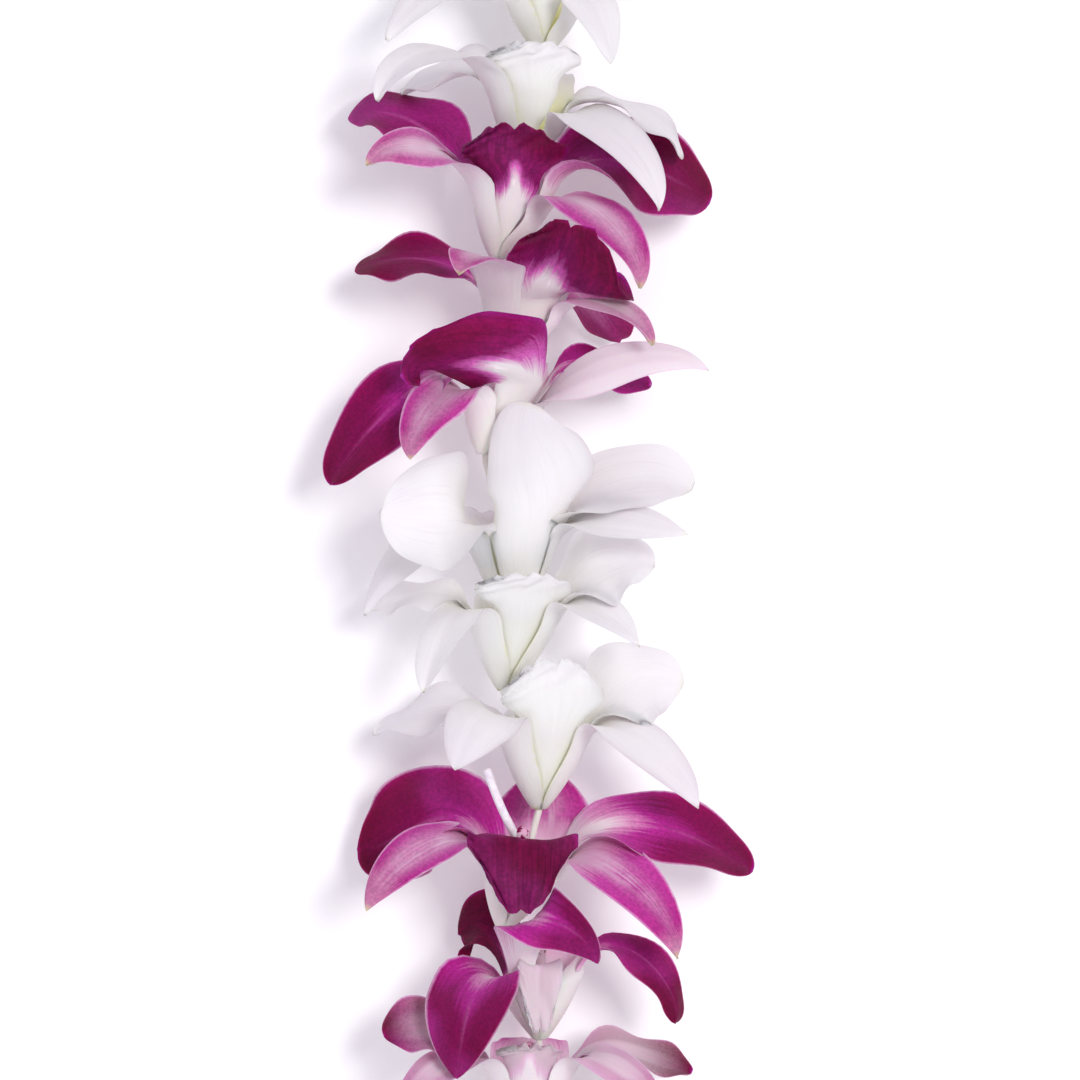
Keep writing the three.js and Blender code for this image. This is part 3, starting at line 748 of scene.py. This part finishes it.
# The measures that both petal materials start from.
def petalInputs(tree):
    along, across, back = readAttribute(tree, "place")
    kind, tint, pale = readAttribute(tree, "kind")
    upwards = product(tree, along, pattern["veinsAlong"])
    veinPlace = addNode(tree, "CombineXYZ", {
        0: product(tree, across, pattern["veinsAcross"]),
        1: calc(tree, "MULTIPLY_ADD", tint, pattern["tintApart"], upwards),
        2: product(tree, kind, pattern["kindApart"]),
    })
    grain = addNode(tree, "TexCoord", {}).outputs["Object"]
    parts = {"along": along, "back": back, "tint": tint, "pale": pale, "grain": grain,
             "middle": calc(tree, "ABSOLUTE", across),
             "veins": noise(tree, veinPlace.outputs[0], pattern["veins"])}
    for name in ("blotch", "cloud"):
        parts[name] = noise(tree, grain, pattern[name])
    kinds = {"isPetal": shapes["petal"], "isLip": shapes["lip"], "isColumn": column, "isStalk": stalk}
    for name, settings in kinds.items():
        parts[name] = calc(tree, "COMPARE", kind, settings["kind"], pattern["kindNear"])
    return parts


def finishPetal(tree, parts, colour, look):
    fine = noise(tree, parts["grain"], pattern["fine"])
    spread = pattern["roughnessSpread"]
    roughness = calc(tree, "MULTIPLY_ADD", fine, spread, look["roughness"] - spread / 2)
    height = calc(tree, "MULTIPLY_ADD", fine, pattern["fineHeight"], parts["veins"])
    sockets = {**look["shader"], "Base Color": colour, "Roughness": roughness}
    addShader(tree, sockets, height, look["bump"], pattern["bumpDistance"])


purpleLook = {
    "shader": {"Subsurface Weight": 0.35, "Subsurface Radius": (1.0, 0.3, 0.6), "Subsurface Scale": 0.0012,
               "Specular IOR Level": 0.11, "Sheen Weight": 0.02, "Sheen Roughness": 0.45,
               "Sheen Tint": (1.0, 0.55, 0.85, 1)},
    "roughness": 0.55, "bump": 0.35,
    "petalFront": [(0.0, 0.89, 0.84, 0.79), (0.49, 0.87, 0.75, 0.79), (0.555, 0.68, 0.28, 0.52),
                   (0.625, 0.46, 0.022, 0.29), (0.74, 0.22, 0.003, 0.085), (1.0, 0.135, 0.001, 0.034)],
    "petalBack": [(0.0, 0.89, 0.84, 0.79), (0.5, 0.87, 0.75, 0.79), (0.62, 0.62, 0.2, 0.45),
                  (0.8, 0.36, 0.025, 0.18), (1.0, 0.24, 0.006, 0.085)],
    "sepalFront": [(0.0, 0.89, 0.85, 0.78), (0.5, 0.88, 0.8, 0.81), (0.58, 0.8, 0.5, 0.68),
                   (0.7, 0.52, 0.05, 0.34), (0.9, 0.42, 0.022, 0.24), (0.975, 0.55, 0.22, 0.38),
                   (1.0, 0.62, 0.6, 0.3)],
    "sepalBack": [(0.0, 0.9, 0.86, 0.78), (0.52, 0.89, 0.82, 0.82), (0.7, 0.78, 0.52, 0.68),
                  (0.95, 0.66, 0.3, 0.5), (1.0, 0.62, 0.6, 0.3)],
    "lipColours": [(0.0, 0.89, 0.85, 0.78), (0.52, 0.88, 0.79, 0.81), (0.59, 0.6, 0.12, 0.44),
                   (0.66, 0.21, 0.006, 0.1), (0.8, 0.155, 0.002, 0.046), (1.0, 0.13, 0.001, 0.034)],
    "columnColours": [(0.0, 0.86, 0.8, 0.8), (0.8, 0.82, 0.62, 0.72), (1.0, 0.7, 0.3, 0.5)],
    "stalkColours": [(0.35, 0.78, 0.7, 0.78), (0.65, 0.9, 0.86, 0.89)],
    "paleWash": (0.86, 0.77, 0.81, 1),
    "allPale": (0.85, 1.0), "paleTip": (1.0, 0.5), "paleMiddle": (0.9, 0.2),
    # How far each measure shifts the place where the purple starts.
    "shifts": {"veins": 0.3, "blotch": 0.12, "tint": 0.14},
    "centre": 0.1, "centreWidth": 0.6, "tipFrom": (0.8, 0.93), "broken": (0.6, 0.4),
    "lipSides": 0.1, "wedge": 0.11, "wedgeWidth": 0.34, "lipDark": (0.56, 0.66),
    "veinStrength": 0.2, "veinEdge": (0.58, 0.7),
    "margin": 0.83, "marginBlotch": 0.1, "marginPetal": 0.05, "marginEnd": 0.995,
    "speckles": (900.0, 2.0, 0.5), "stalkGrain": (1200.0, 3.0, 0.6),
    "mottle": (520.0, 4.0, 0.6), "mottleShades": (0.3, 0.7, 0.86, 1.12),
    "lipVeins": (0.36, 0.64, 0.78, 1.2), "velvetGreen": (0.5, 0.1),
    "velvet": (1700.0, 3.0, 0.6), "velvetShades": (0.32, 0.68, 0.86, 1.16),
}

# A tone's colour, its strength, and the values of its measures between which it fades in.
purpleTones = {
    "violet": ((0.36, 0.022, 0.225), 0.75, ("cloud", 0.5, 0.68), ("colour", 0.6, 0.72)),
    # A lighter line down the midrib, where its crease catches the light: painted highlight.
    "ribHighlight": ((0.58, 0.13, 0.4), 0.4, ("middle", 0.09, 0.0), ("colour", 0.6, 0.72), ("along", 0.95, 0.5)),
    "streak": ((0.86, 0.7, 0.81), 0.75, ("middle", 0.6, 0.0), ("along", 0.97, 0.4), ("broken", 0.4, 0.6)),
    "margin": ((0.8, 0.5, 0.68), 0.6, ("along", 0.0, 0.25)),
    "lipViolet": ((0.21, 0.012, 0.115), 0.7, ("cloud", 0.46, 0.64), ("colour", 0.6, 0.7)),
    "speckle": ((0.22, 0.004, 0.07), 1.0, ("speckles", 0.5, 0.56), ("along", 0.7, 0.8)),
}

whiteLook = {
    "shader": {"Subsurface Weight": 0.7, "Subsurface Radius": (1.0, 0.9, 0.85), "Subsurface Scale": 0.0022,
               "Specular IOR Level": 0.14, "Sheen Weight": 0.05, "Sheen Roughness": 0.45,
               "Sheen Tint": (1.0, 0.97, 1.0, 1)},
    "roughness": 0.5, "bump": 0.28,
    "front": [(0.0, 0.74, 0.76, 0.3), (0.43, 0.82, 0.83, 0.5), (0.55, 0.86, 0.855, 0.71),
              (0.67, 0.855, 0.835, 0.82), (0.97, 0.84, 0.815, 0.835), (1.0, 0.78, 0.8, 0.62)],
    "back": [(0.0, 0.9, 0.88, 0.78), (0.4, 0.9, 0.885, 0.85), (0.7, 0.86, 0.84, 0.85),
             (0.97, 0.84, 0.81, 0.835), (1.0, 0.76, 0.78, 0.6)],
    "lipColours": [(0.0, 0.9, 0.885, 0.79), (0.5, 0.89, 0.88, 0.82), (0.66, 0.87, 0.86, 0.84),
                   (1.0, 0.85, 0.83, 0.84)],
    "columnColours": [(0.0, 0.82, 0.83, 0.6), (1.0, 0.88, 0.87, 0.82)],
    "veinShift": 0.1, "veinStrength": 0.25, "veinEdge": (0.5, 0.72),
    "flush": ((0.86, 0.77, 0.82), 0.6, ("along", 0.35, 1.0)),
    # Lilac-grey clouds over the outer part of the white petals: painted soft shade.
    "lilacShade": ((0.79, 0.745, 0.8), 0.6, ("cloud", 0.38, 0.66), ("colour", 0.5, 0.75)),
}


# Measures along a petal run from -1 to 1, and a row of tones from 0 to 1.
def onRamp(tree, value):
    return calc(tree, "MULTIPLY_ADD", value, 0.5, 0.5)


def darkenVeins(tree, parts, colour, look):
    share = product(tree, fromTo(tree, parts["veins"], *look["veinEdge"]), look["veinStrength"])
    return blend(tree, share, colour, colour, "MULTIPLY")


# A petal stays brighter along its middle, a painted highlight runs down its rib, and clouds of violet lie
# over its dark red.
def purplePetal(tree, parts, start, look):
    centre = fromTo(tree, parts["middle"], look["centreWidth"], 0.0)
    place = calc(tree, "MULTIPLY_ADD", centre, -look["centre"], start)
    colour = twoFaces(tree, parts, place, look["petalFront"], look["petalBack"])
    parts = {**parts, "colour": place}
    colour = layTone(tree, parts, colour, purpleTones["violet"])
    return layTone(tree, parts, colour, purpleTones["ribHighlight"])


# A sepal is paler, with broken white streaks along its middle and a green tip.
def purpleSepal(tree, parts, start, look):
    tip = fromTo(tree, parts["along"], *look["tipFrom"])
    place = addNode(tree, "Mix", {0: tip, 2: start, 3: onRamp(tree, parts["along"])}).outputs[0]
    byBlotch, byVeins = look["broken"]
    broken = calc(tree, "MULTIPLY_ADD", parts["blotch"], byBlotch, product(tree, parts["veins"], byVeins))
    front = ramp(tree, place, look["sepalFront"])
    front = layTone(tree, {**parts, "broken": broken}, front, purpleTones["streak"])
    return blend(tree, parts["back"], front, ramp(tree, place, look["sepalBack"]))


# A lip is darkest at its sides, and the white of its claw runs up its middle in a wedge.
def purpleLip(tree, parts, start, look):
    wedge = product(tree, fromTo(tree, parts["middle"], look["wedgeWidth"], 0.0), -look["wedge"])
    sides = product(tree, parts["middle"], parts["middle"])
    place = calc(tree, "MULTIPLY_ADD", sides, look["lipSides"], calc(tree, "ADD", start, wedge))
    colour = ramp(tree, place, look["lipColours"])
    colour = layTone(tree, {**parts, "colour": place}, colour, purpleTones["lipViolet"])
    mottle = fromTo(tree, noise(tree, parts["grain"], look["mottle"]), *look["mottleShades"])
    mottle = product(tree, mottle, fromTo(tree, parts["veins"], *look["lipVeins"]))
    mottled = blend(tree, 1.0, colour, mottle, "MULTIPLY")
    colour = blend(tree, fromTo(tree, start, *look["lipDark"]), colour, mottled)
    return blend(tree, parts["pale"], colour, look["paleWash"])


# A wash of white lies over the paler petals, and over all of the palest.
def washPale(tree, parts, colour, look):
    palest = product(tree, parts["pale"], parts["pale"])
    allOver = fromTo(tree, parts["pale"], *look["allPale"])
    towardsTip = calc(tree, "MAXIMUM", fromTo(tree, parts["along"], *look["paleTip"]), allOver)
    towardsMiddle = calc(tree, "MAXIMUM", palest, fromTo(tree, parts["middle"], *look["paleMiddle"]))
    wash = product(tree, parts["pale"], towardsTip, towardsMiddle)
    return blend(tree, wash, colour, look["paleWash"])


def addMargin(tree, parts, colour, look):
    margin = calc(tree, "MULTIPLY_ADD", parts["blotch"], look["marginBlotch"], look["margin"])
    margin = calc(tree, "MULTIPLY_ADD", parts["isPetal"], look["marginPetal"], margin)
    nearRim = fromTo(tree, parts["middle"], margin, look["marginEnd"])
    return layTone(tree, parts, colour, purpleTones["margin"], nearRim)


# A velvety grain, which shows only where the petal is coloured.
def addVelvet(tree, parts, colour, look):
    velvet = fromTo(tree, noise(tree, parts["grain"], look["velvet"]), *look["velvetShades"])
    green = addNode(tree, "SeparateColor", {0: colour}).outputs[1]
    coloured = fromTo(tree, green, *look["velvetGreen"])
    return blend(tree, coloured, colour, blend(tree, 1.0, colour, velvet, "MULTIPLY"))


def makePurple():
    material, tree = newMaterial("purpleOrchidPetal")
    parts, look = petalInputs(tree), purpleLook
    # The colour starts higher up in some petals than in others, and runs out along the veins.
    start = parts["along"]
    for name, spread in look["shifts"].items():
        start = calc(tree, "ADD", start, centred(tree, parts[name], spread))
    start = onRamp(tree, start)
    paints = (purpleSepal, purplePetal, purpleLip)
    onSepal, onPetal, onLip = (paint(tree, parts, start, look) for paint in paints)
    colour = blend(tree, parts["isPetal"], onSepal, onPetal)
    for cover in (darkenVeins, washPale, addMargin):
        colour = cover(tree, parts, colour, look)
    colour = blend(tree, parts["isLip"], colour, onLip)
    colour = addVelvet(tree, parts, colour, look)
    parts["speckles"] = noise(tree, parts["grain"], look["speckles"])
    cap = ramp(tree, parts["along"], look["columnColours"])
    cap = layTone(tree, parts, cap, purpleTones["speckle"])
    colour = blend(tree, parts["isColumn"], colour, cap)
    stalkColour = ramp(tree, noise(tree, parts["grain"], look["stalkGrain"]), look["stalkColours"])
    colour = blend(tree, parts["isStalk"], colour, stalkColour)
    finishPetal(tree, parts, colour, look)
    return material


def makeWhite():
    material, tree = newMaterial("whiteOrchidPetal")
    parts, look = petalInputs(tree), whiteLook
    shift = centred(tree, parts["veins"], look["veinShift"])
    place = onRamp(tree, calc(tree, "ADD", parts["along"], shift))
    parts["colour"] = place
    colour = twoFaces(tree, parts, place, look["front"], look["back"])
    colour = layTone(tree, parts, colour, look["flush"], parts["pale"])
    colour = blend(tree, parts["isLip"], colour, ramp(tree, place, look["lipColours"]))
    # Painted soft shade: lilac-grey clouds over the outer part of the petals.
    colour = layTone(tree, parts, colour, look["lilacShade"])
    colour = darkenVeins(tree, parts, colour, look)
    colour = blend(tree, parts["isColumn"], colour, ramp(tree, parts["along"], look["columnColours"]))
    finishPetal(tree, parts, colour, look)
    return material


materials = {"purple": makePurple(), "white": makeWhite()}
print("materials ready")

blooms = allBlooms()


# The string's stops: down each throat and out at each cone's tip.
def stringStops():
    stops = []
    for bloom in blooms:
        for depth in (flower["throatDepth"], flower["coneDepth"]):
            stops.append((bloom["along"] - depth, lean(bloom, -depth)))
    return np.array(sorted((along % loopLength, across) for along, across in stops))


# The solid was set with its middle over the origin, so the loop's own centre is found from the string.
def findShift():
    stops = stringStops()
    line = onLoop(np.stack([stops[:, 1], stops[:, 0], 0 * stops[:, 0]], axis=1))
    low, high = (np.array(corner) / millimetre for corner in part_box("string"))
    own = (line.min(0) + line.max(0)) / 2
    return np.array([(low[0] + high[0]) / 2 - own[0], (low[1] + high[1]) / 2 - own[1], 0])


loopShift = findShift()
looks = np.random.default_rng(chance["seed"])
for bloom in blooms:
    makeBloom(bloom, looks)
print("blooms made:", len(blooms), "loop shift", loopShift.round(2))

thread = {"rings": 1800, "sides": 9, "ply": 0.1, "pitch": 4.2, "bend": 0.0012,
          "knotScale": 0.42, "knotWidth": 1.0, "knotStops": 60, "knotRings": 180, "knotBend": 0.01,
          "endReach": 3.4, "endStops": 6, "endWidth": 0.9, "endRings": 24, "endBend": 0.1,
          "endSpread": 0.6, "endRise": 0.8, "endDroop": 0.12,
          "colours": [(0.3, 0.8, 0.76, 0.68), (0.7, 0.93, 0.91, 0.86)], "fibres": (5200.0, 4.0, 0.65),
          "shader": {"Roughness": 0.85, "Sheen Weight": 0.25}, "bump": 0.5, "bumpDistance": 0.0001}


# Fine fibres in the colour and the bump.
def makeCotton():
    material, tree = newMaterial("cottonThread")
    fibres = noise(tree, addNode(tree, "TexCoord", {}).outputs["Object"], thread["fibres"])
    sockets = {**thread["shader"], "Base Color": ramp(tree, fibres, thread["colours"])}
    addShader(tree, sockets, fibres, thread["bump"], thread["bumpDistance"])
    return material


def twine(route, width, rings, bend):
    return makeTube(route, width, rings, thread["sides"], bend, thread["ply"], thread["pitch"])


# One thread right round the loop, tied in the face of a bloom far from the posed ones.
def makeString():
    stops = stringStops()
    knotAt = blooms[lei["knotBloom"]]["along"] + lei["knotAhead"]
    alongs = knotAt + np.arange(0, loopLength + 1, 1.0) * loopLength / math.floor(loopLength)
    acrosses = np.interp(alongs, stops[:, 0], stops[:, 1], period=loopLength)
    route = np.stack([acrosses, alongs, 0 * alongs], axis=1)
    width = 2 * lei["stringRadius"]
    pieces = [twine(route, width, thread["rings"], thread["bend"])]
    turn = np.linspace(0, 2 * math.pi, thread["knotStops"])
    loops = np.stack([np.sin(turn) + 2 * np.sin(2 * turn), -np.sin(3 * turn),
                      np.cos(turn) - 2 * np.cos(2 * turn)], axis=1)
    knot = loops * thread["knotScale"] + [0, knotAt, 0]
    pieces.append(twine(knot, thread["knotWidth"], thread["knotRings"], thread["knotBend"]))
    for side in (-1, 1):
        end = [(side * t * thread["endSpread"], knotAt + thread["endRise"] * t,
                t * (1 - thread["endDroop"] * t) * thread["endRise"])
               for t in np.linspace(0, thread["endReach"], thread["endStops"])]
        pieces.append(twine(end, width * thread["endWidth"], thread["endRings"], thread["endBend"]))
    whole = joinPieces(pieces, "cotton_string", makeCotton())
    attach(whole, "root")
    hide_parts("string")


makeString()
print("string made and tied")

floorLook = {"size": 4.0,
             "shader": {"Base Color": (0.93, 0.925, 0.945, 1), "Roughness": 0.8,
                        "Emission Color": (1, 1, 1, 1), "Emission Strength": 0.15}}


def makeFloor():
    deselect()
    bpy.ops.mesh.primitive_plane_add(size=floorLook["size"], location=(0, 0, 0))
    floor = bpy.context.object
    floor.name = "floor"
    material, tree = newMaterial("floorWhite")
    shader = addNode(tree, "BsdfPrincipled", floorLook["shader"])
    addNode(tree, "OutputMaterial", {0: shader.outputs[0]})
    floor.data.materials.append(material)


lightLook = {
    "key": {"place": (0.68, 0.42, 2.1), "size": 0.6, "energy": 27.5, "colour": (1.0, 0.985, 0.97)},
    "fill": {"place": (-0.3, -0.75, 1.0), "size": 0.9, "energy": 3.0, "colour": (0.96, 0.95, 1.0)},
    "sky": {"colour": (0.925, 0.895, 1.0), "strength": 0.57},
}


def addLight(name, target):
    look = lightLook[name]
    deselect()
    bpy.ops.object.light_add(type="AREA", location=look["place"])
    lamp = bpy.context.object
    lamp.name = name + "Light"
    lamp.data.size = look["size"]
    lamp.data.energy = look["energy"]
    lamp.data.color = look["colour"]
    away = lamp.location - target
    lamp.rotation_euler = away.to_track_quat("Z", "Y").to_euler()


view = {"pictureSize": 1080, "mmPerPixel": 0.177, "strandPixel": 515, "distance": 0.9, "sensor": 36.0,
        "farthest": 20}


# Straight above the strand, so that the picture's middle falls right of the string.
def addCamera():
    middle = (view["pictureSize"] / 2 - view["strandPixel"]) * view["mmPerPixel"]
    x = (-endRadius + middle + loopShift[0]) * millimetre
    y = loopShift[1] * millimetre
    deselect()
    bpy.ops.object.camera_add(location=(x, y, view["distance"] + lei["stringHeight"] * millimetre))
    camera = bpy.context.object
    camera.rotation_euler = (0, 0, 0)
    camera.data.sensor_width = view["sensor"]
    seen = view["pictureSize"] * view["mmPerPixel"] * millimetre
    camera.data.lens = view["sensor"] * view["distance"] / seen
    camera.data.clip_end = view["farthest"]
    bpy.context.scene.camera = camera
    return camera


makeFloor()
camera = addCamera()
target = camera.location.copy()
target.z = 0
for name in ("key", "fill"):
    addLight(name, target)
world = bpy.context.scene.world or bpy.data.worlds.new("studio")
bpy.context.scene.world = world
world.use_nodes = True
sky = world.node_tree.nodes["Background"]
sky.inputs[0].default_value = (*lightLook["sky"]["colour"], 1)
sky.inputs[1].default_value = lightLook["sky"]["strength"]
bpy.context.scene.view_settings.view_transform = "Standard"
print("stage, lights and camera ready")
